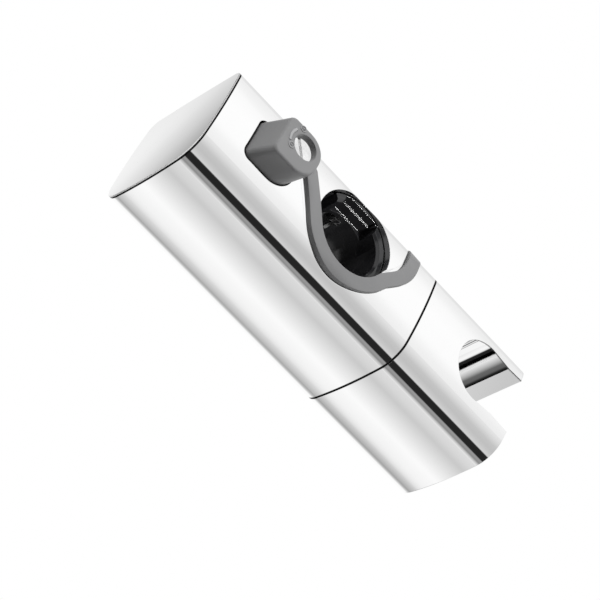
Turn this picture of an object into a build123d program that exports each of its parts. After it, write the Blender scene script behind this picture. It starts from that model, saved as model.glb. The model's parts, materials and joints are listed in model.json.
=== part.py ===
from build123d import *
import math
import os

# Shower rail slider with a turning handset holder, millimetres.
# Origin: on the rail's axis at mid height. +Z up along the rail, +X towards the
# handset holder, +Y towards the wall.

# Overall section of the casing, a rounded square with crowned sides
half_height = 19.65
top_crown = 1.3
front_depth = 20.2
front_crown = 1.7
back_depth = 14.3
back_crown = 0.44
front_corner_radius = 8.0
back_corner_radius = 3.5
smallest_corner = 0.6
edge_round = 0.3

# Lengths along the body, from the rail's axis
rail_to_closed_end = 52.8
rail_to_parting = 29.8
rail_to_open_end = 71.0
rear_prong_short = 2.0

# Walls and general clearances
shell_wall = 2.8
slip_fit = 0.15
running_fit = 0.05
parting_gap = 0.4

# Rail and the opening it passes through
rail_radius = 11.0
rail_clearance = 0.1
insert_wall = 2.35
insert_play = 0.25
insert_proud = 0.2
insert_lead_in = 0.7
insert_mouth_gap = 0.11
insert_key_width = 5.0
insert_key_height = 12.0
insert_key_depth = 1.6
ledge_low_depth = 6.2
ledge_high_depth = 2.8
ledge_low_wall = 0.6
ledge_high_wall = 1.2
ledge_half_length = 6.4
ledge_end_step = 1.0
view_gap_left = -12.0
view_gap_right = -1.0
view_gap_low = -1.0
view_gap_high = 10.5

# Release lever
lever_screw_x = -29.4
lever_screw_y = 0.0
head_centre_y = -1.5
head_half_width = 7.45
head_base_left = -40.4
head_base_right = -24.6
head_left_lean = 3.2
head_right_lean = 1.4
head_lean_from = 0.95
head_rise = 9.15
head_sunk = 6.75
head_left_corner = 2.2
head_right_corner = 6.2
head_edge_round = 0.8
window_gap = 0.5
head_pocket_radius = 5.2
head_web_rise = 4.25
head_web_thickness = 1.3
press_angle = 2.0
arm_width = 4.3
arm_over_opening = 0.5
arm_centre_x = -0.7
arm_centre_y = 0.7
arm_thickness = 1.8
arm_proud = 0.3
arm_floor_gap = 0.2
arm_side_gap = 0.5
arm_leave_angle = -145.0
arm_turn_angle = -20.0
arm_lead_length = 14.5
arm_root_offset = 4.0
arm_swing_share = 0.55
arm_swing_first_rise = 4.6
arm_swing_rise = 13.5
pivot_x = 20.2
pivot_z = 8.0
pivot_eye_radius = 4.2
pivot_pin_radius = 1.6
pivot_head_radius = 3.0
pivot_head_thickness = 1.0
pivot_pin_length = 9.0

# Tension screw, its clip and the lever spring
screw_head_radius = 3.75
screw_head_height = 1.6
screw_slot_width = 1.1
screw_slot_depth = 0.8
screw_slot_turn = 37.0
screw_shank_radius = 1.95
screw_end_z = -7.0
screw_groove_radius = 1.5
clip_thickness = 0.7
clip_outer_radius = 3.3
lever_spring_radius = 4.35
lever_spring_wire = 0.8
lever_spring_turns = 5.0

# Wedge and brake shoe
wedge_slope = 0.6
wedge_under_shelf = 0.3
wedge_bottom_z = -5.0
wedge_behind_screw = 6.6
wedge_side_wall = 1.0
wedge_face_x_at_top = -26.7
shoe_back_gap = 0.25
shoe_under_shelf = 0.5
shoe_back_x = -24.4
shoe_ear_play = 0.75
shoe_ear_half_height = 3.4
shoe_ear_left_x = -21.4
shoe_ear_thickness = 1.8
pad_thickness = 1.0
pad_half_width = 5.0
pad_end_wall = 1.4
shoe_spring_play = 0.25
shoe_spring_gap = 0.35
shoe_spring_radius = 1.0
shoe_spring_wire = 0.4
shoe_spring_turns = 5.0
coil_steps = 12
wire_sides = 6

# Inner frame
frame_left_x = -22.2
frame_right_x = 26.0
shelf_under_head = 4.7
shelf_thickness = 2.0
shelf_left_x = -40.2
shelf_web = 1.6
shelf_web_bottom_z = -8.0
shelf_hole_radius = 3.0
spring_stop_x = -14.6
shoe_play = 0.2

# End cap
cap_lip = 0.4
cap_seam = 0.25
cap_spigot_length = 5.0
cap_spigot_wall = 1.6
thrust_gap = 0.3
thrust_half_width = 5.0
thrust_low_z = -6.0
thrust_under_shelf = 1.1
thrust_wall = 1.8

# Bearing plate, spindle and washers
spindle_y = -3.6
spindle_radius = 3.0
spindle_head_radius = 5.4
spindle_head_length = 3.2
spindle_hex_across = 4.0
spindle_hex_depth = 1.8
spindle_tip_short = 1.0
spindle_pocket_radius = 7.6
spindle_pocket_x = 17.0
plate_thickness = 3.2
plate_boss_radius = 6.0
plate_boss_length = 1.6
flat_washer_thickness = 0.8
wave_washer_height = 1.3
wave_washer_sheet = 0.4
washer_outer_radius = 5.6
plate_screw_front_wall = 2.05
plate_screw_back_wall = 3.35
plate_screw_end_wall = 1.9
plate_screw_radius = 1.3
plate_screw_head_radius = 2.6
plate_screw_head_height = 1.4
plate_screw_length = 10.0
ring_inset = 0.45
ring_hole_radius = 9.0

# Handset holder
socket_x = 56.2
socket_y = -0.6
socket_top_radius = 10.2
socket_taper = 1.2
mouth_neck_x = 63.4
mouth_neck_step = 0.8
mouth_flare_step = 0.3
insert_nut_radius = 4.6
insert_nut_left_x = 31.2
insert_nut_length = 11.8
holder_core_depth = 9.0
holder_core_inset = 3.2
holder_boss_radius = 6.6

# Sizes that follow from those above
casing_left = -rail_to_closed_end + cap_lip + cap_seam
casing_right = rail_to_parting - parting_gap / 2
recess_depth = arm_thickness - arm_proud + arm_floor_gap
tall = 2 * half_height
casing_top = half_height + top_crown
inner_inset = shell_wall + slip_fit

bore_radius = rail_radius + rail_clearance
insert_outer_radius = bore_radius + insert_wall
rail_opening_radius = insert_outer_radius + insert_play
insert_half_length = casing_top - inner_inset + insert_proud
arm_inner_radius = rail_opening_radius - arm_over_opening

shoe_ear_width = back_depth - inner_inset - shoe_ear_play
spring_reach = shoe_spring_radius + shoe_spring_wire / 2
shoe_spring_y = shoe_ear_width - spring_reach - shoe_spring_play
shoe_half_width = shoe_spring_y - spring_reach - shoe_spring_gap
wedge_half_width = shoe_half_width - wedge_side_wall
wedge_left_x = lever_screw_x - wedge_behind_screw

head_face_z = casing_top + head_rise
head_bottom_z = casing_top - head_sunk
head_web_low_z = casing_top + head_web_rise
head_face_left = head_base_left + head_left_lean
head_face_right = head_base_right + head_right_lean

shelf_z = head_bottom_z - shelf_under_head
wedge_top_z = shelf_z - wedge_under_shelf
shoe_half_height = shelf_z - shoe_under_shelf
pad_half_height = shoe_half_height - pad_end_wall
thrust_high_z = shelf_z - thrust_under_shelf

spindle_reach = insert_nut_left_x + insert_nut_length - spindle_tip_short
screw_inset = inner_inset + plate_screw_head_radius
plate_screw_z = half_height - screw_inset - plate_screw_end_wall
plate_screw_front_y = screw_inset + plate_screw_front_wall - front_depth
plate_screw_back_y = back_depth - screw_inset - plate_screw_back_wall
plate_screw_places = ((plate_screw_front_y, plate_screw_z), (plate_screw_back_y, -plate_screw_z))


# Frame of the section: local x is the part's Y, local y is the part's Z
def section_plane(x):
    return Plane(origin=(x, 0, 0), x_dir=(0, 1, 0), z_dir=(1, 0, 0))


# The rounded square of the casing, moved in (or, if negative, out) by inset
def section(inset):
    back = back_depth - inset
    front = inset - front_depth
    height = half_height - inset
    middle = (back + front) / 2
    sides = [
        ThreePointArc((front, height), (middle, height + top_crown), (back, height)),
        ThreePointArc((back, height), (back + back_crown, 0), (back, -height)),
        ThreePointArc((back, -height), (middle, -height - top_crown), (front, -height)),
        ThreePointArc((front, -height), (front - front_crown, 0), (front, height)),
    ]
    face = make_face(sides)
    front_radius = max(front_corner_radius - inset, smallest_corner)
    back_radius = max(back_corner_radius - inset, smallest_corner)
    face = fillet([v for v in face.vertices() if v.X < middle], front_radius)
    corners = [v for v in face.vertices() if v.X > middle and abs(v.X - back) < 0.01]
    return fillet(corners, back_radius)


# A bar of that section between two places along the body
def section_bar(inset, left, right):
    return extrude(section_plane(left) * section(inset), right - left)


# A box given by its two corners
def box_between(low, high):
    size = [b - a for a, b in zip(low, high)]
    middle = [(a + b) / 2 for a, b in zip(low, high)]
    return Pos(*middle) * Box(*size)


# A cylinder along X between two places
def bar_x(radius, left, right, y=0.0, z=0.0):
    length = right - left
    return Pos((left + right) / 2, y, z) * Rot(0, 90, 0) * Cylinder(radius, length)


# A cylinder along Y between two places
def bar_y(radius, front, back, x, z):
    length = back - front
    return Pos(x, (front + back) / 2, z) * Rot(90, 0, 0) * Cylinder(radius, length)


# A cylinder along Z between two heights
def bar_z(radius, low, high, x=0.0, y=0.0):
    return Pos(x, y, (low + high) / 2) * Cylinder(radius, high - low)


# A coil spring along Z from a seat at zero to the given length, in short straight steps
def coil(radius, wire, turns, length):
    flat = wire / 2 * math.cos(math.pi / wire_sides)
    last = round(turns * coil_steps)
    points = []
    for step in range(last + 1):
        angle = 2 * math.pi * step / coil_steps
        height = flat + (length - 2 * flat) * step / last
        points.append((radius * math.cos(angle), radius * math.sin(angle), height))
    path = Polyline(*points)
    start = Plane(origin=path @ 0, z_dir=path % 0)
    section = start * RegularPolygon(wire / 2, wire_sides)
    return sweep(section, path=path, transition=Transition.RIGHT)


# The lever head's foot in plan, widened by the gap round it
def window_outline():
    left = head_base_left - window_gap
    right = head_base_right + window_gap
    middle = (left + right) / 2
    depth = 2 * (head_half_width + window_gap)
    plate = Pos(middle, head_centre_y) * Rectangle(right - left, depth)
    plate = fillet([v for v in plate.vertices() if v.X < middle], head_left_corner + window_gap)
    far = [v for v in plate.vertices() if v.X > right - 0.01]
    return fillet(far, head_right_corner + window_gap)


# The path of the lever arm in plan: out of the head, round the rail, over the back
def arm_path():
    radius = arm_inner_radius + arm_width / 2
    centre = (arm_centre_x, arm_centre_y)
    ring = CenterArc(centre, radius, arm_leave_angle, arm_turn_angle - arm_leave_angle)
    knee = ring @ 0 - (ring % 0) * arm_lead_length
    root = Line((lever_screw_x, head_centre_y + arm_root_offset), knee)
    lead = Line(knee, ring @ 0)
    leave = ring @ 1
    turn = Vector(arm_swing_share * (pivot_x - leave.X), arm_swing_first_rise)
    end = (pivot_x, leave.Y + arm_swing_rise)
    swing = Spline(leave, leave + turn, end, tangents=[turn, (0, 1)])
    tail = Line(end, (pivot_x, back_depth + arm_width))
    return [root, lead, ring, swing, tail]


# The arm in plan, and the same widened for its recess
def arm_outline(grow=0.0):
    width = arm_width + 2 * grow
    outline = Sketch()
    for piece in arm_path():
        joint = piece @ 0
        outline += trace(piece, width)
        outline += Pos(joint.X, joint.Y) * Circle(width / 2)
    return outline


# Everything between two offsets of the casing's surface, over the lever's reach
def surface_band(out, depth):
    left = head_base_left
    right = rail_to_parting
    return section_bar(-out, left, right) - section_bar(depth, left - 1, right + 1)


# The arm's eye and tail on the back face
def tail_block(grow=0.0):
    half = arm_width / 2 + grow
    deep = back_depth + arm_width
    strip = box_between(
        (pivot_x - half, 0, pivot_z), (pivot_x + half, deep, half_height + arm_width)
    )
    eye = bar_y(pivot_eye_radius + grow, 0, deep, pivot_x, pivot_z)
    back_half = box_between(
        (-tall, back_depth - arm_width, -half_height), (tall, deep, tall)
    )
    return (strip + eye) & back_half


def arm_reach(grow=0.0):
    top = extrude(Pos(0, 0, pivot_z + pivot_eye_radius) * arm_outline(grow), 2 * half_height)
    head_back = head_centre_y + head_half_width + grow
    beside_head = box_between((-tall, head_back, 0), (lever_screw_x / 2, tall, 2 * tall))
    over_back = box_between((-tall, back_depth - 2, 0), (tall, tall, 2 * tall))
    return top - beside_head - over_back + tail_block(grow)


def make_body_shell():
    shell = section_bar(0, casing_left, casing_right)
    shell -= section_bar(shell_wall, casing_left - 1, casing_right + 1)
    shell -= bar_z(rail_opening_radius, -tall, tall)
    shell -= extrude(Pos(0, 0, head_bottom_z) * window_outline(), tall)
    beyond = section_bar(-arm_width, casing_left, casing_right)
    beyond -= section_bar(recess_depth, casing_left - 1, casing_right + 1)
    shell -= arm_reach(arm_side_gap) & beyond
    shell -= bar_y(pivot_pin_radius + running_fit, 0, tall, pivot_x, pivot_z)
    return shell


def make_end_cap():
    face_x = -rail_to_closed_end
    cap = section_bar(0, face_x, face_x + cap_lip)
    outer_face = cap.faces().sort_by(Axis.X)[0]
    cap = fillet(outer_face.edges(), edge_round)
    cap += section_bar(inner_inset, face_x + cap_lip, casing_left + cap_spigot_length)
    hollow = inner_inset + cap_spigot_wall
    cap -= section_bar(hollow, casing_left + cap_spigot_wall, casing_left + cap_spigot_length + 1)
    thrust_x = wedge_left_x - thrust_gap
    low = (thrust_x - thrust_wall, -thrust_half_width, thrust_low_z)
    cap += box_between(low, (thrust_x, thrust_half_width, thrust_high_z))
    for side in (-1, 1):
        outer = side * thrust_half_width
        inner = side * (thrust_half_width - thrust_wall)
        rib_low = (casing_left, min(outer, inner), thrust_low_z)
        cap += box_between(rib_low, (thrust_x, max(outer, inner), thrust_high_z))
    return cap


def make_rail_insert():
    sleeve = bar_z(insert_outer_radius, -insert_half_length, insert_half_length)
    sleeve -= bar_z(bore_radius, -tall, tall)
    for end in (-1, 1):
        wide = bore_radius + insert_lead_in
        cone = Cone(wide, bore_radius, insert_lead_in)
        seat = insert_half_length - insert_lead_in / 2
        sleeve -= Pos(0, 0, end * seat) * Rot(180 if end > 0 else 0, 0, 0) * cone
    reach = 2 * insert_outer_radius
    slope = math.asin((shoe_half_width + insert_mouth_gap) / bore_radius)
    corner = (-reach * math.cos(slope), reach * math.sin(slope))
    mouth = make_face(
        Polyline((0, 0), corner, (-2 * reach, 0), (corner[0], -corner[1]), close=True)
    )
    sleeve -= Pos(0, 0, -tall) * extrude(mouth, 2 * tall)
    low_ledge = (-ledge_half_length, 0, insert_half_length - ledge_low_depth)
    sleeve -= box_between(low_ledge, (ledge_half_length, bore_radius + ledge_low_wall, tall))
    high_half = ledge_half_length - ledge_end_step
    high_ledge = (-high_half, 0, insert_half_length - ledge_high_depth)
    sleeve -= box_between(high_ledge, (high_half, bore_radius + ledge_high_wall, tall))
    gap_low = (view_gap_left, 0, view_gap_low)
    sleeve -= box_between(gap_low, (view_gap_right, tall, view_gap_high))
    key_low = (bore_radius + 1, -insert_key_width / 2, -insert_key_height / 2)
    key_high = (
        insert_outer_radius + insert_key_depth,
        insert_key_width / 2,
        insert_key_height / 2,
    )
    return sleeve + box_between(key_low, key_high)


def make_inner_frame():
    frame = section_bar(inner_inset, frame_left_x, frame_right_x)
    bore = insert_outer_radius + slip_fit
    frame -= bar_z(bore, -tall, tall)
    half = shoe_half_width + shoe_play
    high = shoe_half_height + shoe_play
    frame -= box_between((frame_left_x - 1, -half, -high), (0, half, high))
    ear = shoe_ear_width + shoe_play
    ear_high = shoe_ear_half_height + shoe_play
    frame -= box_between((frame_left_x - 1, -ear, -ear_high), (spring_stop_x, ear, ear_high))
    frame -= bar_x(spindle_pocket_radius, spindle_pocket_x, frame_right_x + 1, spindle_y)
    gap_low = (view_gap_left, 0, view_gap_low)
    frame -= box_between(gap_low, (view_gap_right, tall, view_gap_high))
    key = insert_key_width / 2 + slip_fit
    key_high = insert_key_height / 2 + slip_fit
    key_reach = insert_outer_radius + insert_key_depth + slip_fit
    frame -= box_between((0, -key, -key_high), (key_reach, key, key_high))
    web = max(wedge_half_width, shoe_half_width) + shoe_play + shelf_web
    shelf_low = (shelf_left_x, -web, shelf_z)
    frame += box_between(shelf_low, (frame_left_x, web, shelf_z + shelf_thickness))
    for side in (-1, 1):
        outer = side * web
        inner = side * (web - shelf_web)
        web_low = (shelf_left_x, min(outer, inner), shelf_web_bottom_z)
        frame += box_between(web_low, (frame_left_x, max(outer, inner), shelf_z))
    frame -= bar_z(shelf_hole_radius, 0, tall, lever_screw_x, lever_screw_y)
    pin_tip = back_depth + arm_proud - pivot_pin_length
    frame -= bar_y(pivot_pin_radius, pin_tip, tall, pivot_x, pivot_z)
    screw_tip = frame_right_x + plate_thickness - plate_screw_length
    for y, z in plate_screw_places:
        frame -= bar_x(plate_screw_radius, screw_tip, frame_right_x + 1, y, z)
    return frame


def wedge_face_x(z, gap=0.0):
    return wedge_face_x_at_top + wedge_slope * (wedge_top_z - z) + gap


def make_adjuster_wedge():
    outline = Polyline(
        (wedge_left_x, wedge_top_z),
        (wedge_face_x(wedge_top_z), wedge_top_z),
        (wedge_face_x(wedge_bottom_z), wedge_bottom_z),
        (wedge_left_x, wedge_bottom_z),
        close=True,
    )
    side = Plane(origin=(0, -wedge_half_width, 0), x_dir=(1, 0, 0), z_dir=(0, -1, 0))
    wedge = extrude(side * make_face(outline), -2 * wedge_half_width)
    hole = screw_shank_radius + running_fit
    return wedge - bar_z(hole, -tall, tall, lever_screw_x, lever_screw_y)


def pad_reach():
    low = (-tall, -pad_half_width, -pad_half_height)
    return box_between(low, (0, pad_half_width, pad_half_height))


def make_brake_shoe():
    pad_back = bore_radius + pad_thickness
    low = (shoe_back_x, -shoe_half_width, -shoe_half_height)
    shoe = box_between(low, (0, shoe_half_width, shoe_half_height))
    ear_low = (shoe_ear_left_x, -shoe_ear_width, -shoe_ear_half_height)
    ear_right = shoe_ear_left_x + shoe_ear_thickness
    shoe += box_between(ear_low, (ear_right, shoe_ear_width, shoe_ear_half_height))
    above = shoe_half_height + 1
    behind = Polyline(
        (2 * shoe_back_x, above),
        (wedge_face_x(above, shoe_back_gap), above),
        (wedge_face_x(-above, shoe_back_gap), -above),
        (2 * shoe_back_x, -above),
        close=True,
    )
    half = wedge_half_width + shoe_play
    side = Plane(origin=(0, -half, 0), x_dir=(1, 0, 0), z_dir=(0, -1, 0))
    shoe -= extrude(side * make_face(behind), -2 * half)
    shoe -= bar_z(bore_radius, -tall, tall)
    return shoe - (bar_z(pad_back, -tall, tall) & pad_reach())


def make_shoe_pad():
    ring = bar_z(bore_radius + pad_thickness, -tall, tall) - bar_z(bore_radius, -tall, tall)
    return ring & pad_reach()


def make_shoe_spring(side):
    seat = shoe_ear_left_x + shoe_ear_thickness
    length = spring_stop_x - seat
    spring = coil(shoe_spring_radius, shoe_spring_wire, shoe_spring_turns, length)
    return Pos(seat, side * shoe_spring_y, 0) * Rot(0, 90, 0) * spring


def make_lever_head():
    lean_z = casing_top - head_lean_from
    profile = Polyline(
        (head_base_left, head_bottom_z),
        (head_base_right, head_bottom_z),
        (head_base_right, lean_z),
        (head_face_right, head_face_z),
        (head_face_left, head_face_z),
        (head_base_left, lean_z),
        close=True,
    )
    front_y = head_centre_y - head_half_width
    front = Plane(origin=(0, front_y, 0), x_dir=(1, 0, 0), z_dir=(0, -1, 0))
    head = extrude(front * make_face(profile), -2 * head_half_width)
    for side, radius in ((-1, head_left_corner), (1, head_right_corner)):
        corners = [e for e in head.edges() if e.bounding_box().size.Z > 1]
        beside = [e for e in corners if side * (e.center().X - lever_screw_x) > 0]
        head = fillet(beside, radius)
    top_face = head.faces().sort_by(Axis.Z)[-1]
    head = fillet(top_face.edges(), head_edge_round)
    web_top = head_web_low_z + head_web_thickness
    head -= bar_z(head_pocket_radius, 0, head_web_low_z, lever_screw_x, lever_screw_y)
    head -= bar_z(screw_head_radius + slip_fit, web_top, tall, lever_screw_x, lever_screw_y)
    head -= bar_z(screw_shank_radius + slip_fit, 0, tall, lever_screw_x, lever_screw_y)
    return head


def make_release_lever():
    arm = arm_reach() & surface_band(arm_proud, arm_thickness - arm_proud)
    inside_tab = back_depth + back_crown + arm_proud - pivot_head_thickness
    arm -= bar_y(pivot_head_radius + running_fit, inside_tab, tall, pivot_x, pivot_z)
    arm -= bar_y(pivot_pin_radius + running_fit, 0, tall, pivot_x, pivot_z)
    pivot = Axis((pivot_x, 0, pivot_z), (0, 1, 0))
    arm = arm.rotate(pivot, press_angle)
    clear = bar_z(head_pocket_radius, 0, head_web_low_z, lever_screw_x, lever_screw_y)
    return make_lever_head() + (arm - clear)


def make_lever_pin():
    outside = back_depth + back_crown + arm_proud
    head = bar_y(pivot_head_radius, outside - pivot_head_thickness, outside, pivot_x, pivot_z)
    tip = back_depth + arm_proud - pivot_pin_length
    return head + bar_y(pivot_pin_radius, tip, outside, pivot_x, pivot_z)


def make_tension_screw():
    seat = head_web_low_z + head_web_thickness
    top = seat + screw_head_height
    screw = bar_z(screw_head_radius, seat, top, lever_screw_x, lever_screw_y)
    screw += bar_z(screw_shank_radius, screw_end_z, seat, lever_screw_x, lever_screw_y)
    slot = box_between(
        (-screw_slot_width / 2, -2 * screw_head_radius, top - screw_slot_depth),
        (screw_slot_width / 2, 2 * screw_head_radius, top + 1),
    )
    screw -= Pos(lever_screw_x, lever_screw_y, 0) * Rot(0, 0, screw_slot_turn) * slot
    groove_top = head_web_low_z - running_fit
    groove = bar_z(screw_shank_radius + 1, groove_top - clip_thickness, groove_top)
    groove -= bar_z(screw_groove_radius, 0, tall)
    return screw - Pos(lever_screw_x, lever_screw_y, 0) * groove


def make_screw_clip():
    top = head_web_low_z - running_fit
    ring = bar_z(clip_outer_radius, top - clip_thickness, top)
    ring -= bar_z(screw_groove_radius, 0, tall)
    ring -= box_between((0, -screw_groove_radius, 0), (tall, screw_groove_radius, tall))
    return Pos(lever_screw_x, lever_screw_y, 0) * ring


def make_lever_spring():
    seat = shelf_z + shelf_thickness
    length = head_web_low_z - seat
    spring = coil(lever_spring_radius, lever_spring_wire, lever_spring_turns, length)
    return Pos(lever_screw_x, lever_screw_y, seat) * spring


def make_bearing_plate():
    plate = section_bar(inner_inset, frame_right_x, frame_right_x + plate_thickness)
    boss_left = frame_right_x - plate_boss_length
    plate += bar_x(plate_boss_radius, boss_left, frame_right_x, spindle_y)
    plate -= bar_x(spindle_radius + running_fit, 0, rail_to_open_end, spindle_y)
    face = frame_right_x + plate_thickness
    head_seat = face - plate_screw_head_height
    for y, z in plate_screw_places:
        plate -= bar_x(plate_screw_radius + running_fit, 0, face, y, z)
        plate -= bar_x(plate_screw_head_radius + running_fit, head_seat, face, y, z)
    return plate


def make_plate_screws():
    face = frame_right_x + plate_thickness
    head_seat = face - plate_screw_head_height
    screws = []
    for y, z in plate_screw_places:
        screw = bar_x(plate_screw_radius, face - plate_screw_length, face, y, z)
        screw += bar_x(plate_screw_head_radius, head_seat, face, y, z)
        screws.append(screw)
    return Compound(children=[Solid(s.solid().wrapped) for s in screws])


def make_friction_ring():
    ring_left = frame_right_x + plate_thickness
    ring = section_bar(ring_inset, casing_right, rail_to_parting + parting_gap / 2 - running_fit)
    ring += section_bar(inner_inset, ring_left, casing_right)
    return ring - bar_x(ring_hole_radius, 0, rail_to_open_end, spindle_y)


def boss_end_x():
    return frame_right_x - plate_boss_length


def make_wave_washer():
    right = boss_end_x()
    washer = Cylinder(washer_outer_radius, wave_washer_sheet)
    washer -= Cylinder(spindle_radius + slip_fit, wave_washer_sheet)
    shift = (wave_washer_height - wave_washer_sheet) / 2
    folded = []
    for side in (-1, 1):
        half = washer & box_between((-tall, min(0, side * tall), -1), (tall, max(0, side * tall), 1))
        tilt = side * math.degrees(math.atan(2 * shift / washer_outer_radius))
        folded.append(Rot(tilt, 0, 0) * half)
    bent = folded[0] + folded[1]
    thickness = bent.bounding_box().max.Z - bent.bounding_box().min.Z
    lift = -bent.bounding_box().min.Z
    return Pos(right - thickness, spindle_y, 0) * Rot(0, 90, 0) * Pos(0, 0, lift) * bent


def washer_stack_left():
    return make_wave_washer().bounding_box().min.X


def make_flat_washer(right):
    left = right - flat_washer_thickness
    washer = bar_x(washer_outer_radius, left, right, spindle_y)
    return washer - bar_x(spindle_radius + slip_fit, 0, rail_to_open_end, spindle_y)


def make_spindle_screw(head_right):
    head_left = head_right - spindle_head_length
    screw = bar_x(spindle_head_radius, head_left, head_right, spindle_y)
    screw += bar_x(spindle_radius, head_right, spindle_reach, spindle_y)
    socket = Pos(head_left, spindle_y, 0) * Rot(0, 90, 0) * RegularPolygon(spindle_hex_across / 2, 6)
    return screw - extrude(socket, spindle_hex_depth, dir=(1, 0, 0))


# The socket and its mouth in plan, with every width stepped in by step
def socket_outline(step):
    radius = socket_top_radius - step
    neck = radius - mouth_neck_step
    flare = radius - mouth_flare_step
    far = rail_to_open_end + 2
    lines = [
        ThreePointArc((0, radius), (-radius, 0), (0, -radius)),
        Line((0, -radius), (mouth_neck_x - socket_x, -neck)),
        Line((mouth_neck_x - socket_x, -neck), (far - socket_x, -flare)),
        Line((far - socket_x, -flare), (far - socket_x, flare)),
        Line((far - socket_x, flare), (mouth_neck_x - socket_x, neck)),
        Line((mouth_neck_x - socket_x, neck), (0, radius)),
    ]
    return Pos(socket_x, socket_y) * make_face(lines)


def make_handset_holder():
    left = rail_to_parting + parting_gap / 2
    holder = section_bar(0, left, rail_to_open_end)
    rear_end = rail_to_open_end - rear_prong_short
    holder -= box_between((rear_end, socket_y, -tall), (rail_to_open_end + 1, tall, tall))
    ends = holder.faces().filter_by(Axis.X).sort_by(Axis.X)
    open_edges = []
    for face in ends[1:]:
        open_edges += [e for e in face.edges() if abs(e.center().Y - socket_y) > 0.1]
    holder = fillet(open_edges, edge_round)
    parting_face = holder.faces().sort_by(Axis.X)[0]
    holder = chamfer(parting_face.edges(), edge_round / 2)
    top = Pos(0, 0, casing_top) * socket_outline(0)
    bottom = Pos(0, 0, -casing_top) * socket_outline(socket_taper)
    holder -= loft([bottom, top], ruled=True)
    core = section_bar(holder_core_inset, left - 1, left + holder_core_depth)
    core -= bar_x(holder_boss_radius, 0, rail_to_open_end, spindle_y)
    holder -= core
    holder -= bar_x(insert_nut_radius, left - 1, insert_nut_left_x + insert_nut_length, spindle_y)
    return holder


def make_threaded_insert():
    right = insert_nut_left_x + insert_nut_length
    nut = bar_x(insert_nut_radius, insert_nut_left_x, right, spindle_y)
    return nut - bar_x(spindle_radius, 0, rail_to_open_end, spindle_y)


wave_left = washer_stack_left()
nodes = {
    "body_shell": make_body_shell(),
    "end_cap": make_end_cap(),
    "inner_frame": make_inner_frame(),
    "rail_insert": make_rail_insert(),
    "brake_shoe": make_brake_shoe(),
    "shoe_pad": make_shoe_pad(),
    "shoe_spring_front": make_shoe_spring(-1),
    "shoe_spring_rear": make_shoe_spring(1),
    "release_lever": make_release_lever(),
    "lever_pin": make_lever_pin(),
    "lever_spring": make_lever_spring(),
    "tension_screw": make_tension_screw(),
    "screw_clip": make_screw_clip(),
    "adjuster_wedge": make_adjuster_wedge(),
    "bearing_plate": make_bearing_plate(),
    "plate_screws": make_plate_screws(),
    "friction_ring": make_friction_ring(),
    "handset_holder": make_handset_holder(),
    "threaded_insert": make_threaded_insert(),
    "spindle_screw": make_spindle_screw(wave_left - flat_washer_thickness),
    "flat_washer": make_flat_washer(wave_left),
    "wave_washer": make_wave_washer(),
}

os.makedirs("parts", exist_ok=True)
for name, shape in nodes.items():
    export_step(shape, f"parts/{name}.step")
    print(name, round(shape.volume, 1))
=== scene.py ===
import bpy
import bmesh
import json
import math
from mathutils import Matrix, Vector

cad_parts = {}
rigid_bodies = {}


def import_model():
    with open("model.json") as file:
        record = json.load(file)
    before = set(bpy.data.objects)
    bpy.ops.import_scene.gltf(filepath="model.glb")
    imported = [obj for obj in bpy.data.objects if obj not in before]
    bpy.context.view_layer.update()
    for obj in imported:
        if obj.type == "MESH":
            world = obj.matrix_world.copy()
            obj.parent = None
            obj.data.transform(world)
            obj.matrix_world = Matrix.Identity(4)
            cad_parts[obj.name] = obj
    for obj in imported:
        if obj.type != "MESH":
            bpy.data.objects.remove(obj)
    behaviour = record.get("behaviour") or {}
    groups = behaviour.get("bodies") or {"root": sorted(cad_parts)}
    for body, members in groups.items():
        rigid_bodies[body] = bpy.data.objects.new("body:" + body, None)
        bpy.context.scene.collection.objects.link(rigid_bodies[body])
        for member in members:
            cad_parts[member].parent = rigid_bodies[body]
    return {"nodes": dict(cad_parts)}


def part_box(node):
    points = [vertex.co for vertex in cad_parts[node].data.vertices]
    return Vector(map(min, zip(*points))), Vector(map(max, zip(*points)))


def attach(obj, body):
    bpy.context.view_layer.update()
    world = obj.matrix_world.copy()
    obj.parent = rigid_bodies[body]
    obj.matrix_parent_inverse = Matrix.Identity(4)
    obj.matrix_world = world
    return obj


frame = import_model()
for item in list(bpy.data.objects):  # the start-up cube, lamp and camera
    if item.name in ("Cube", "Light", "Camera"):
        bpy.data.objects.remove(item, do_unlink=True)
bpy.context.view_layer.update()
millimetre = 0.001
noiseRange = (0.3, 0.7)  # nearly all of a noise pattern's values lie between these
bevelSamples = 6


def startMaterial(name):
    material = bpy.data.materials.new(name)
    material.use_nodes = True
    tree = material.node_tree
    tree.nodes.clear()
    output = tree.nodes.new("ShaderNodeOutputMaterial")
    shader = tree.nodes.new("ShaderNodeBsdfPrincipled")
    tree.links.new(shader.outputs["BSDF"], output.inputs["Surface"])
    return material, tree, shader


def addNode(tree, kind, inputs=None, **settings):
    node = tree.nodes.new(kind)
    for key, value in settings.items():
        setattr(node, key, value)
    for key, value in (inputs or {}).items():
        if isinstance(value, bpy.types.NodeSocket):
            tree.links.new(value, node.inputs[key])
        else:
            node.inputs[key].default_value = value
    return node


def compute(tree, operation, *values):
    return addNode(tree, "ShaderNodeMath", dict(enumerate(values)), operation=operation).outputs[0]


def computeVector(tree, operation, *values):
    return addNode(tree, "ShaderNodeVectorMath", dict(enumerate(values)), operation=operation).outputs[0]


def scaleVector(tree, vector, share):
    return addNode(tree, "ShaderNodeVectorMath", {0: vector, "Scale": share}, operation="SCALE").outputs[0]


def splitVector(tree, vector):
    return addNode(tree, "ShaderNodeSeparateXYZ", {"Vector": vector}).outputs


def mixColours(tree, factor, first, second):
    settings = {"Factor": factor, 6: first, 7: second}
    return addNode(tree, "ShaderNodeMix", settings, data_type="RGBA").outputs[2]


def grey(level):
    return (level, level, level, 1)


def objectPlace(tree):
    return addNode(tree, "ShaderNodeTexCoord").outputs["Object"]


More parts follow.
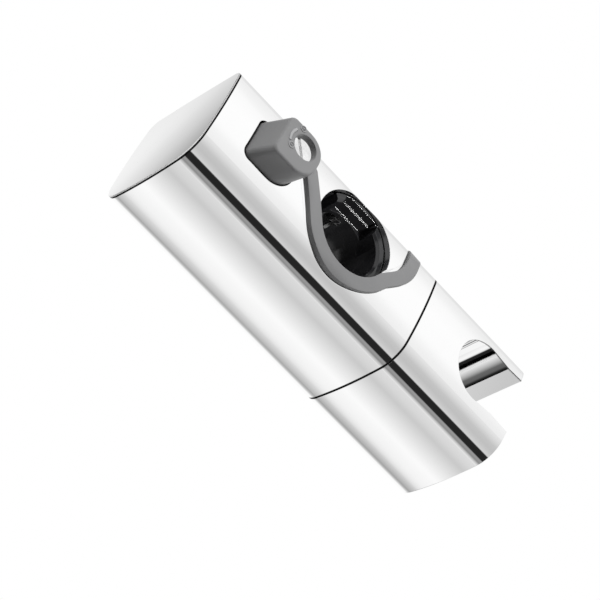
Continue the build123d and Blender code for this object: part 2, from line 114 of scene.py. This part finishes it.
def surfaceNormal(tree):
    return addNode(tree, "ShaderNodeNewGeometry").outputs["Normal"]


def roundedNormal(tree, radius):
    return addNode(tree, "ShaderNodeBevel", {"Radius": radius}, samples=bevelSamples).outputs["Normal"]


def noiseFactor(tree, vector, scale, detail=4.0):
    settings = {"Vector": vector, "Scale": scale, "Detail": detail, "Roughness": 0.55}
    return addNode(tree, "ShaderNodeTexNoise", settings).outputs["Fac"]


def addBump(tree, height, strength, distance, normal=None):
    settings = {"Height": height, "Strength": strength, "Distance": distance}
    if normal is not None:
        settings["Normal"] = normal
    return addNode(tree, "ShaderNodeBump", settings).outputs["Normal"]


def remap(tree, value, low, high, fromLow=noiseRange[0], fromHigh=noiseRange[1]):
    settings = {"Value": value, "From Min": fromLow, "From Max": fromHigh, "To Min": low, "To Max": high}
    return addNode(tree, "ShaderNodeMapRange", settings).outputs["Result"]


def blendColours(tree, factor, first, second):
    ramp = addNode(tree, "ShaderNodeValToRGB", {"Fac": factor})
    for element, colour, position in zip(ramp.color_ramp.elements, (first, second), noiseRange):
        element.color = (*colour, 1)
        element.position = position
    return ramp.outputs["Color"]


def addRamp(tree, value, stops):
    ramp = addNode(tree, "ShaderNodeValToRGB", {"Fac": value})
    elements = ramp.color_ramp.elements
    while len(elements) > 1:
        elements.remove(elements[-1])
    for number, (position, level) in enumerate(sorted(stops)):
        element = elements[0] if number == 0 else elements.new(position)
        element.position = position
        element.color = grey(level)
    return ramp.outputs["Color"]


chrome = {
    "colour": (0.962, 0.962, 0.962),
    "shade": (0.952, 0.952, 0.952),
    "roughLow": 0.025,
    "roughHigh": 0.055,
    "cloudScale": 60.0,
    "wipe": (420.0, 6.0),  # scale and detail of the wiped look, here and in the other finishes
    "capLean": 0.003 / millimetre,  # outward lean of the flat face's normal for each metre from its middle
    "capFacing": (-0.995, -0.9),  # the normal's part along the slider, on the flat face and on the rim
    "capLip": 0.4 * millimetre,  # thickness of the cap's visible edge
    "seamOverlap": 0.13 * millimetre,  # how far the shadow of a seam reaches past its gap
    "seamEdge": 0.03 * millimetre,
    "seamShade": 0.045,
    "edgeRadius": 0.22 * millimetre,  # how far the plating rounds the sharp edges
    "rimRoughness": 0.4,
}


def paintedSeamShadow(tree):
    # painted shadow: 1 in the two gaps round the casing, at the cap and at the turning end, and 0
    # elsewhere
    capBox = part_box("end_cap")
    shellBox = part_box("body_shell")
    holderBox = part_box("handset_holder")
    lipRight = capBox[0][0] + chrome["capLip"]
    along = splitVector(tree, objectPlace(tree))["X"]
    factors = []
    for low, high in ((lipRight, shellBox[0][0]), (shellBox[1][0], holderBox[0][0])):
        half = (high - low) / 2 + chrome["seamOverlap"]
        distance = compute(tree, "ABSOLUTE", compute(tree, "SUBTRACT", along, (low + high) / 2))
        factors.append(remap(tree, distance, 1.0, 0.0, half, half + chrome["seamEdge"]))
    return compute(tree, "MAXIMUM", *factors)


def makeChrome(name="chromePlate", extra=None):
    material, tree, shader = startMaterial(name)
    place = objectPlace(tree)
    cloud = noiseFactor(tree, place, chrome["cloudScale"])
    plate = blendColours(tree, cloud, chrome["shade"], chrome["colour"])
    wipe = noiseFactor(tree, place, *chrome["wipe"])
    rough = remap(tree, wipe, chrome["roughLow"], chrome["roughHigh"])
    normal = roundedNormal(tree, chrome["edgeRadius"])
    if extra:
        plate, rough, normal = extra(tree, plate, rough, normal)
    # painted shadow: the plating turns nearly black in the two seam gaps and a little past them
    colour = mixColours(tree, paintedSeamShadow(tree), plate, grey(chrome["seamShade"]))
    tree.links.new(colour, shader.inputs["Base Color"])
    shader.inputs["Metallic"].default_value = 1.0
    tree.links.new(rough, shader.inputs["Roughness"])
    tree.links.new(normal, shader.inputs["Normal"])
    return material


def crownCap(tree, plate, rough, normal):
    # the flat face leans outwards from its middle, and its rounded rim is softer
    middle = [(low + high) / 2 for low, high in zip(*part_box("end_cap"))]
    offset = computeVector(tree, "SUBTRACT", objectPlace(tree), middle)
    lean = computeVector(tree, "MULTIPLY", offset, (0, chrome["capLean"], chrome["capLean"]))
    facing = splitVector(tree, surfaceNormal(tree))["X"]
    flat = remap(tree, facing, 1.0, 0.0, *chrome["capFacing"])
    settings = {"Factor": flat, "A": chrome["rimRoughness"], "B": rough}
    rim = addNode(tree, "ShaderNodeMix", settings).outputs[0]
    part = scaleVector(tree, lean, flat)
    leaning = computeVector(tree, "NORMALIZE", computeVector(tree, "ADD", normal, part))
    return plate, rim, leaning


# painted shade and dark reflections on the walls of the handset socket
paintedSocketShade = {
    "middle": -0.6 * millimetre,
    "halfWidth": 10.8 * millimetre,
    "from": 58.4 * millimetre,  # where the painted shade on the back wall begins, growing darker towards the mouth
    "to": 63.4 * millimetre,
    "levels": ((0.0, 1.0), (0.34, 0.52), (0.54, 0.17), (0.74, 0.14), (0.86, 0.02), (1.0, 0.0)),
    "steepest": 0.3,  # the most that a wall's normal may point up or down
    "lineAt": 56.3 * millimetre,  # a painted dark reflection line down the deepest part of the back wall
    "lineHalf": 1.0 * millimetre,
    "lineEdge": 1.3 * millimetre,
    "lineLevel": 0.02,
    "rimRadius": 0.9 * millimetre,
    "rimLevel": 0.12,
    "rimRise": (0.08, 0.22),  # how far the rounded rim's normal has turned up, from clear to painted dark
}


def paintSocketShade(tree, plate, rough, normal):
    # painted shade and dark reflections: the back wall darkens towards the mouth and has one dark line,
    # and both walls darken under the rim
    parts = splitVector(tree, objectPlace(tree))
    along = remap(tree, parts["X"], 0.0, 1.0, paintedSocketShade["from"], paintedSocketShade["to"])
    before = compute(tree, "LESS_THAN", parts["X"], paintedSocketShade["to"])
    side = compute(tree, "SUBTRACT", parts["Y"], paintedSocketShade["middle"])
    backHalf = compute(tree, "GREATER_THAN", side, 0.0)
    side = compute(tree, "ABSOLUTE", side)
    near = compute(tree, "LESS_THAN", side, paintedSocketShade["halfWidth"])
    steepness = compute(tree, "ABSOLUTE", splitVector(tree, surfaceNormal(tree))["Z"])
    wall = compute(tree, "LESS_THAN", steepness, paintedSocketShade["steepest"])
    inside = compute(tree, "MULTIPLY", near, wall)
    neck = compute(tree, "MULTIPLY", inside, before)
    neck = compute(tree, "MULTIPLY", neck, backHalf)
    shade = addRamp(tree, along, paintedSocketShade["levels"])
    dark = computeVector(tree, "MULTIPLY", plate, shade)
    plate = mixColours(tree, neck, plate, dark)
    away = compute(tree, "ABSOLUTE", compute(tree, "SUBTRACT", parts["X"], paintedSocketShade["lineAt"]))
    line = remap(tree, away, 1.0, 0.0, paintedSocketShade["lineHalf"], paintedSocketShade["lineEdge"])
    line = compute(tree, "MULTIPLY", line, inside)
    line = compute(tree, "MULTIPLY", line, backHalf)
    plate = mixColours(tree, line, plate, grey(paintedSocketShade["lineLevel"]))
    rounded = roundedNormal(tree, paintedSocketShade["rimRadius"])
    rise = splitVector(tree, rounded)["Z"]
    rim = remap(tree, rise, 0.0, 1.0, *paintedSocketShade["rimRise"])
    rim = compute(tree, "MULTIPLY", rim, inside)
    plate = mixColours(tree, rim, plate, grey(paintedSocketShade["rimLevel"]))
    return plate, rough, normal


blackGloss = {
    "colour": (0.010, 0.010, 0.011),
    "shade": (0.018, 0.018, 0.019),
    "roughLow": 0.06,
    "roughHigh": 0.14,
    "cloudScale": 90.0,
    "wipe": (300.0, 5.0),
    "ripple": (160.0, 2.0),
    "rippleStrength": 0.05,
    "rippleDepth": 0.2 * millimetre,
    "edgeRadius": 0.35 * millimetre,
}


def makeBlackGloss():
    material, tree, shader = startMaterial("blackGloss")
    place = objectPlace(tree)
    cloud = noiseFactor(tree, place, blackGloss["cloudScale"])
    colour = blendColours(tree, cloud, blackGloss["colour"], blackGloss["shade"])
    tree.links.new(colour, shader.inputs["Base Color"])
    wipe = noiseFactor(tree, place, *blackGloss["wipe"])
    rough = remap(tree, wipe, blackGloss["roughLow"], blackGloss["roughHigh"])
    tree.links.new(rough, shader.inputs["Roughness"])
    ripple = noiseFactor(tree, place, *blackGloss["ripple"])
    rounded = roundedNormal(tree, blackGloss["edgeRadius"])
    bumped = addBump(tree, ripple, blackGloss["rippleStrength"], blackGloss["rippleDepth"], rounded)
    tree.links.new(bumped, shader.inputs["Normal"])
    return material


greySatin = {
    "colour": (0.255, 0.255, 0.258),
    "shade": (0.225, 0.225, 0.228),
    "roughLow": 0.34,
    "roughHigh": 0.46,
    "cloudScale": 45.0,
    "wipe": (500.0, 5.0),
    "grain": (4500.0, 3.0),  # the fine spark-eroded grain of the mould
    "grainStrength": 0.12,
    "grainDepth": 0.04 * millimetre,
    "gapDepth": 1.6 * millimetre,  # how near a surface has to be to shade the moulding
    "edgeRadius": 0.5 * millimetre,
    "gapSamples": 8,
    "gapShade": (0.03, 1.0, 0.44, 0.66),  # darkest and full level, and how open each of them is
    "clearFrom": 2 * millimetre,  # height over the casing where the painted shade begins to fade
    "clearTo": 3 * millimetre,
    "markLift": 1.7,
}


def makeGreySatin(name="greySatin", lift=1.0, withPaintedShade=True):
    material, tree, shader = startMaterial(name)
    place = objectPlace(tree)
    cloud = noiseFactor(tree, place, greySatin["cloudScale"])
    pale = [lift * part for part in greySatin["colour"]]
    deep = [lift * part for part in greySatin["shade"]]
    colour = blendColours(tree, cloud, deep, pale)
    if withPaintedShade:
        # painted shade: the colour darkens where other surfaces are near, as in the gap round the lever's
        # head, but not high above the casing
        reach = {"Distance": greySatin["gapDepth"]}
        nearby = addNode(tree, "ShaderNodeAmbientOcclusion", reach, samples=greySatin["gapSamples"])
        shade = remap(tree, nearby.outputs["AO"], *greySatin["gapShade"])
        height = splitVector(tree, place)["Z"]
        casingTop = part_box("body_shell")[1][2]
        fade = (casingTop + greySatin["clearFrom"], casingTop + greySatin["clearTo"])
        clear = remap(tree, height, 0.0, 1.0, *fade)
        shade = compute(tree, "MAXIMUM", shade, clear)
        colour = scaleVector(tree, colour, shade)
    tree.links.new(colour, shader.inputs["Base Color"])
    wipe = noiseFactor(tree, place, *greySatin["wipe"])
    rough = remap(tree, wipe, greySatin["roughLow"], greySatin["roughHigh"])
    tree.links.new(rough, shader.inputs["Roughness"])
    grain = noiseFactor(tree, place, *greySatin["grain"])
    rounded = roundedNormal(tree, greySatin["edgeRadius"])
    bumped = addBump(tree, grain, greySatin["grainStrength"], greySatin["grainDepth"], rounded)
    tree.links.new(bumped, shader.inputs["Normal"])
    return material


rubber = {
    "colour": (0.012, 0.012, 0.012),
    "shade": (0.03, 0.03, 0.03),
    "roughLow": 0.6,
    "roughHigh": 0.8,
    "cloudScale": 200.0,
    "grain": (2500.0, 3.0),
    "grainStrength": 0.2,
    "grainDepth": 0.06 * millimetre,
}


def makeRubber():
    material, tree, shader = startMaterial("blackRubber")
    place = objectPlace(tree)
    cloud = noiseFactor(tree, place, rubber["cloudScale"])
    colour = blendColours(tree, cloud, rubber["colour"], rubber["shade"])
    tree.links.new(colour, shader.inputs["Base Color"])
    rough = remap(tree, cloud, rubber["roughLow"], rubber["roughHigh"])
    tree.links.new(rough, shader.inputs["Roughness"])
    grain = noiseFactor(tree, place, *rubber["grain"])
    bumped = addBump(tree, grain, rubber["grainStrength"], rubber["grainDepth"])
    tree.links.new(bumped, shader.inputs["Normal"])
    return material


metal = {
    "steel": (0.62, 0.61, 0.6),
    "brightSteel": (0.95, 0.95, 0.95),
    "brass": (0.78, 0.56, 0.25),
    "deepShare": 0.82,  # brightness of the darker patches, as a share
    "roughLow": 0.18,
    "roughHigh": 0.36,
    "cloudScale": 300.0,
    "wipe": (1400.0, 5.0),
    "wipeStrength": 0.15,
    "wipeDepth": 0.03 * millimetre,
    "threadStrength": 0.9,
    "threadDepth": 0.5,  # as a share of the pitch
    "finePitch": 0.8 * millimetre,
    "insertPitch": 1.0 * millimetre,
    "screwThreadTop": 26.2 * millimetre,
    "wholeLength": 1.0,  # above everything, so that the thread has no upper end
}


def makeSteel(name, colour=metal["steel"], thread=None):
    material, tree, shader = startMaterial(name)
    place = objectPlace(tree)
    cloud = noiseFactor(tree, place, metal["cloudScale"])
    deep = [metal["deepShare"] * part for part in colour]
    tree.links.new(blendColours(tree, cloud, deep, colour), shader.inputs["Base Color"])
    shader.inputs["Metallic"].default_value = 1.0
    lines = noiseFactor(tree, place, *metal["wipe"])
    rough = remap(tree, lines, metal["roughLow"], metal["roughHigh"])
    tree.links.new(rough, shader.inputs["Roughness"])
    bumped = addBump(tree, lines, metal["wipeStrength"], metal["wipeDepth"])
    if thread:  # a screw thread as rings along one axis, one to each turn, below any head
        axis, pitch, top = thread
        bands = {"wave_type": "BANDS", "bands_direction": axis, "wave_profile": "TRI"}
        inputs = {"Vector": place, "Scale": math.pi / (10 * pitch), "Distortion": 0.0}
        wave = addNode(tree, "ShaderNodeTexWave", inputs, **bands)
        below = compute(tree, "LESS_THAN", splitVector(tree, place)["Z"], top)
        turns = compute(tree, "MULTIPLY", wave.outputs["Fac"], below)
        bumped = addBump(tree, turns, metal["threadStrength"], metal["threadDepth"] * pitch, bumped)
    tree.links.new(bumped, shader.inputs["Normal"])
    return material


screwThread = ("Z", metal["finePitch"], metal["screwThreadTop"])
plateThread = ("X", metal["finePitch"], metal["wholeLength"])
insertThread = ("X", metal["insertPitch"], metal["wholeLength"])
finishes = {
    "body_shell": makeChrome(),
    "end_cap": makeChrome("chromeCap", crownCap),
    "handset_holder": makeChrome("chromeHolder", paintSocketShade),
    "inner_frame": makeBlackGloss(),
    "release_lever": makeGreySatin(),
    "shoe_pad": makeRubber(),
    "lever_pin": makeSteel("turnedSteel"),
    "tension_screw": makeSteel("screwSteel", metal["brightSteel"], screwThread),
    "plate_screws": makeSteel("threadedSteel", metal["steel"], plateThread),
    "threaded_insert": makeSteel("turnedBrass", metal["brass"], insertThread),
}
sameFinish = {
    "inner_frame": ("rail_insert", "brake_shoe", "bearing_plate", "adjuster_wedge"),
    "shoe_pad": ("friction_ring",),
    "lever_pin": (
        "lever_spring",
        "shoe_spring_front",
        "shoe_spring_rear",
        "screw_clip",
        "flat_washer",
        "wave_washer",
    ),
    "plate_screws": ("spindle_screw",),
}
for first, others in sameFinish.items():
    for node in others:
        finishes[node] = finishes[first]
for node, item in frame["nodes"].items():
    item.data.materials.clear()
    item.data.materials.append(finishes[node])
print("materials set on", len(finishes), "nodes")

turnMarks = {
    "ringRadius": 0.88 * millimetre,
    "strokeWidth": 0.24 * millimetre,
    "height": 0.16 * millimetre,
    "sunk": 0.15 * millimetre,
    "minusPlace": (5.1 * millimetre, 218.0),  # distance from the screw and direction in degrees
    "plusPlace": (5.6 * millimetre, 125.0),
    "arcRadius": 5.5 * millimetre,
    "arcWidth": 0.8 * millimetre,
    "arcFrom": 150.0,
    "arcTo": 203.0,
    "stepAngle": 9.0,  # degrees to each step of a swept stroke
    "leastSteps": 8,
}


def addSweep(mesh, radius, width, low, high, startAngle, endAngle):
    inner = radius - width / 2
    outer = radius + width / 2
    places = ((inner, 0, low), (outer, 0, low), (outer, 0, high), (inner, 0, high))
    corners = [mesh.verts.new(place) for place in places]
    face = mesh.faces.new(corners)
    full = endAngle - startAngle >= 360
    outline = list(face.edges)
    if full:
        mesh.faces.remove(face)  # a whole ring is swept from the outline alone
    start = Matrix.Rotation(math.radians(startAngle), 3, "Z")
    bmesh.ops.rotate(mesh, verts=corners, cent=(0, 0, 0), matrix=start)
    steps = max(turnMarks["leastSteps"], round((endAngle - startAngle) / turnMarks["stepAngle"]))
    bmesh.ops.spin(
        mesh,
        geom=([] if full else [face]) + outline + corners,
        cent=(0, 0, 0),
        axis=(0, 0, 1),
        angle=math.radians(endAngle - startAngle),
        steps=steps,
        use_merge=full,
    )


def addBar(mesh, length, width, low, high, angle=0.0):
    size = Matrix.Diagonal((length, width, high - low, 1))
    place = Matrix.Translation((0, 0, (low + high) / 2)) @ Matrix.Rotation(angle, 4, "Z") @ size
    bmesh.ops.create_cube(mesh, size=1.0, matrix=place)


joining = {"mergeDistance": 0.0001 * millimetre, "sharpAngle": 35.0}


def finishMesh(mesh, name, material, body):
    bmesh.ops.remove_doubles(mesh, verts=mesh.verts, dist=joining["mergeDistance"])
    bmesh.ops.recalc_face_normals(mesh, faces=mesh.faces)
    data = bpy.data.meshes.new(name)
    mesh.to_mesh(data)
    mesh.free()
    for face in data.polygons:
        face.use_smooth = True
    data.set_sharp_from_angle(angle=math.radians(joining["sharpAngle"]))
    data.materials.append(material)
    piece = bpy.data.objects.new(name, data)
    bpy.context.collection.objects.link(piece)
    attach(piece, body)
    return piece


def polar(distance, degrees):
    angle = math.radians(degrees)
    return Vector((distance * math.cos(angle), distance * math.sin(angle), 0))


def makeTurnMarks():
    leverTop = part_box("release_lever")[1][2]
    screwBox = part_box("tension_screw")
    centre = Vector([(least + most) / 2 for least, most in zip(*screwBox)])
    centre.z = leverTop
    low = -turnMarks["sunk"]
    high = turnMarks["height"]
    stroke = turnMarks["strokeWidth"]
    mesh = bmesh.new()
    for place, crossed in ((turnMarks["minusPlace"], False), (turnMarks["plusPlace"], True)):
        sign = bmesh.new()
        addSweep(sign, turnMarks["ringRadius"], stroke, low, high, 0, 360)
        addBar(sign, turnMarks["ringRadius"], stroke, low, high)
        if crossed:
            addBar(sign, turnMarks["ringRadius"], stroke, low, high, math.pi / 2)
        bmesh.ops.translate(sign, verts=sign.verts, vec=polar(*place))
        part = bpy.data.meshes.new("sign")
        sign.to_mesh(part)
        sign.free()
        mesh.from_mesh(part)
        bpy.data.meshes.remove(part)
    arc = (turnMarks["arcFrom"], turnMarks["arcTo"])
    addSweep(mesh, turnMarks["arcRadius"], turnMarks["arcWidth"], low, high, *arc)
    bmesh.ops.translate(mesh, verts=mesh.verts, vec=centre)
    paler = makeGreySatin("greyMarks", greySatin["markLift"], withPaintedShade=False)
    return finishMesh(mesh, "turn_marks", paler, "lever")


turnMarksPiece = makeTurnMarks()
for item in (frame["nodes"]["release_lever"], turnMarksPiece):
    item.visible_glossy = False  # the plating doesn't mirror the lever
print("turn marks made")

sizeNumber = {
    "words": "22",
    "fontSize": 3.22 * millimetre,  # gives figures 2.2 mm high
    "wallRadius": 11.1 * millimetre,
    "lift": 2.6,  # paler than the lever, to show in the dark bore
    "along": -1.5 * millimetre,  # round the bore's wall from its rearmost line
    "up": 7.9 * millimetre,
    "thick": 0.03 * millimetre,
    "curveSteps": 4,
}


def makeSizeNumber():
    curve = bpy.data.curves.new("size_number", "FONT")
    curve.body = sizeNumber["words"]
    curve.size = sizeNumber["fontSize"]
    curve.extrude = sizeNumber["thick"]
    curve.resolution_u = sizeNumber["curveSteps"]
    curve.align_x = "CENTER"
    writer = bpy.data.objects.new("numberWriter", curve)
    bpy.context.collection.objects.link(writer)
    bpy.context.view_layer.update()
    written = writer.evaluated_get(bpy.context.evaluated_depsgraph_get())
    data = bpy.data.meshes.new_from_object(written)
    bpy.data.objects.remove(writer, do_unlink=True)
    mesh = bmesh.new()
    mesh.from_mesh(data)
    for corner in mesh.verts:  # wrapped on the round wall
        turn = (sizeNumber["along"] + corner.co.x) / sizeNumber["wallRadius"]
        radius = sizeNumber["wallRadius"] - corner.co.z
        corner.co = (radius * math.sin(turn), radius * math.cos(turn), sizeNumber["up"] + corner.co.y)
    paint = makeGreySatin("greyPaint", sizeNumber["lift"], withPaintedShade=False)
    return finishMesh(mesh, "size_number", paint, "slider_body")


makeSizeNumber()
print("size number made")

# Strips round the slider's length, each an angle from straight up towards the front,
# in degrees, and its brightness
studioStrips = {
    "wallSoftbox": ((-63, 0.8), (-56, 0.97)),
    "topSoftbox": ((-50, 1.0), (-41, 0.99)),
    "topFade": ((-33, 0.8), (-9, 0.68), (10, 0.56), (30, 0.53), (42, 0.57), (57, 0.65)),
    "blackFlag": ((60, 0.018), (87, 0.018)),
    "frontRise": ((90, 0.31), (96, 0.31), (104, 0.25), (112, 0.55), (119, 0.88), (127, 0.59)),
    "lowSoftbox": ((138, 0.98), (144.8, 0.9), (147.3, 0.74)),
    "greyCard": ((149.3, 0.36), (156, 0.37)),
    "floorSoftbox": ((168, 0.66), (178, 0.97), (219, 0.97), (229, 0.78)),
    "backRoom": ((240, 0.86), (262, 0.76)),
}
studioSeam = -150.0  # the angle at which the strips' ramp begins and ends

# Strips along the slider: how much of the brightness is left in a direction, by its
# share along the length, from -1 at the closed end to 1 at the open end
alongStrips = {
    "closedEnd": ((-1.0, 0.9), (-0.68, 0.9)),
    "closedFlag": ((-0.65, 0.02), (-0.57, 0.02), (-0.54, 0.12), (-0.47, 0.14)),
    "closedFade": ((-0.44, 0.34), (-0.37, 0.5), (-0.29, 0.76), (-0.2, 0.96), (-0.15, 1.0)),
    "openCard": ((0.42, 1.0), (0.46, 0.75), (0.5, 0.75)),
    "openEnd": ((0.56, 0.97), (1.0, 0.93)),
}
studioStrength = 1.03

# The soft light on matt surfaces, darker from the slider's front left
softLight = {"darkSide": (-0.7, -0.7, -0.14), "bright": 1.0, "dark": 0.06, "edge": 0.3}

# Towards the slider's two ends the strips give way to one plain level
plainEnds = {"from": 0.64, "to": 0.72, "level": 0.93}


def makeWorld():
    world = bpy.data.worlds.new("studio")
    bpy.context.scene.world = world
    world.use_nodes = True
    tree = world.node_tree
    tree.nodes.clear()
    output = addNode(tree, "ShaderNodeOutputWorld")
    direction = addNode(tree, "ShaderNodeTexCoord").outputs["Generated"]
    parts = splitVector(tree, direction)
    front = compute(tree, "MULTIPLY", parts["Y"], -1.0)
    angle = compute(tree, "ARCTAN2", front, parts["Z"])
    share = compute(tree, "MULTIPLY_ADD", angle, 1 / math.tau, -studioSeam / 360)
    wrapped = compute(tree, "FRACT", share)
    stops = [stop for strip in studioStrips.values() for stop in strip]
    around = [(((degrees - studioSeam) / 360) % 1, level) for degrees, level in stops]
    roundRamp = addRamp(tree, wrapped, around)
    place = remap(tree, parts["X"], 0.0, 1.0, -1.0, 1.0)
    stops = [stop for strip in alongStrips.values() for stop in strip]
    along = [((part + 1) / 2, level) for part, level in stops]
    alongRamp = addRamp(tree, place, along)
    both = computeVector(tree, "MULTIPLY", roundRamp, alongRamp)
    length = compute(tree, "ABSOLUTE", parts["X"])
    ends = remap(tree, length, 0.0, 1.0, plainEnds["from"], plainEnds["to"])
    strips = mixColours(tree, ends, both, grey(plainEnds["level"]))
    pattern = addNode(tree, "ShaderNodeBackground", {"Color": strips, "Strength": studioStrength})
    sides = {0: direction, 1: softLight["darkSide"]}
    towards = addNode(tree, "ShaderNodeVectorMath", sides, operation="DOT_PRODUCT").outputs["Value"]
    edge = softLight["edge"]
    soft = remap(tree, towards, softLight["bright"], softLight["dark"], -edge, edge)
    room = addNode(tree, "ShaderNodeBackground", {"Color": grey(1), "Strength": soft})
    plain = addNode(tree, "ShaderNodeBackground", {"Color": grey(1), "Strength": 1.0})
    rays = addNode(tree, "ShaderNodeLightPath")
    lighting = {0: rays.outputs["Is Diffuse Ray"], 1: pattern.outputs[0], 2: room.outputs[0]}
    lit = addNode(tree, "ShaderNodeMixShader", lighting)
    seen = {0: rays.outputs["Is Camera Ray"], 1: lit.outputs[0], 2: plain.outputs[0]}
    mix = addNode(tree, "ShaderNodeMixShader", seen)
    tree.links.new(mix.outputs[0], output.inputs["Surface"])


paleFloor = {"halfSize": 3.0, "height": -0.25, "level": 0.9, "roughness": 0.8}


def makeFloor():
    mesh = bmesh.new()
    place = Matrix.Translation((0, 0, paleFloor["height"]))
    bmesh.ops.create_grid(mesh, x_segments=2, y_segments=2, size=paleFloor["halfSize"], matrix=place)
    data = bpy.data.meshes.new("floor")
    mesh.to_mesh(data)
    mesh.free()
    material, tree, shader = startMaterial("paleFloor")
    shader.inputs["Base Color"].default_value = grey(paleFloor["level"])
    shader.inputs["Roughness"].default_value = paleFloor["roughness"]
    white = addNode(tree, "ShaderNodeEmission", {"Color": grey(1), "Strength": 1.0})
    rays = addNode(tree, "ShaderNodeLightPath")
    seen = {0: rays.outputs["Is Camera Ray"], 1: shader.outputs[0], 2: white.outputs[0]}
    mix = addNode(tree, "ShaderNodeMixShader", seen)
    output = [node for node in tree.nodes if node.type == "OUTPUT_MATERIAL"][0]
    tree.links.new(mix.outputs[0], output.inputs["Surface"])
    data.materials.append(material)
    floor = bpy.data.objects.new("floor", data)
    bpy.context.collection.objects.link(floor)
    floor.visible_glossy = False


lamps = {
    "keyLamp": {"place": (-0.45, 0.42, 0.6), "size": 0.3, "power": 4.6, "only": None},
    "glintLamp": {  # draws bright lines on the edges in the rail opening
        "place": (0.28, -0.36, 0.76),
        "size": 0.14,
        "power": 9.0,
        "only": ("rail_insert", "inner_frame", "brake_shoe"),
    },
}


def addLamp(name, place, size, power, only):
    lamp = bpy.data.lights.new(name, "AREA")
    lamp.shape = "DISK"
    lamp.size = size
    lamp.energy = power
    item = bpy.data.objects.new(name, lamp)
    item.location = place
    item.rotation_euler = (-Vector(place)).to_track_quat("-Z", "Y").to_euler()
    item.visible_glossy = only is not None
    if only:
        group = bpy.data.collections.new(name + "Group")
        for node in only:
            group.objects.link(frame["nodes"][node])
        item.light_linking.receiver_collection = group
    bpy.context.collection.objects.link(item)


makeWorld()
makeFloor()
for name, lamp in lamps.items():
    addLamp(name, **lamp)
print("studio made")

viewPoint = {
    "place": (-0.20373, -0.45533, 0.45233),
    "right": (0.6637, 0.3581, 0.6567),
    "up": (-0.6796, 0.6555, 0.3295),
    "lens": 143.81,
    "sensor": 36.0,
    "nearest": 0.01,
}


def makeCamera():
    data = bpy.data.cameras.new("photoCamera")
    data.lens = viewPoint["lens"]
    data.sensor_width = viewPoint["sensor"]
    data.clip_start = viewPoint["nearest"]
    camera = bpy.data.objects.new("photoCamera", data)
    bpy.context.collection.objects.link(camera)
    right = Vector(viewPoint["right"]).normalized()
    back = right.cross(Vector(viewPoint["up"])).normalized()
    up = back.cross(right)
    turned = Matrix((right, up, back)).transposed().to_4x4()
    camera.matrix_world = Matrix.Translation(viewPoint["place"]) @ turned
    bpy.context.scene.camera = camera


makeCamera()
bpy.context.scene.view_settings.view_transform = "Standard"
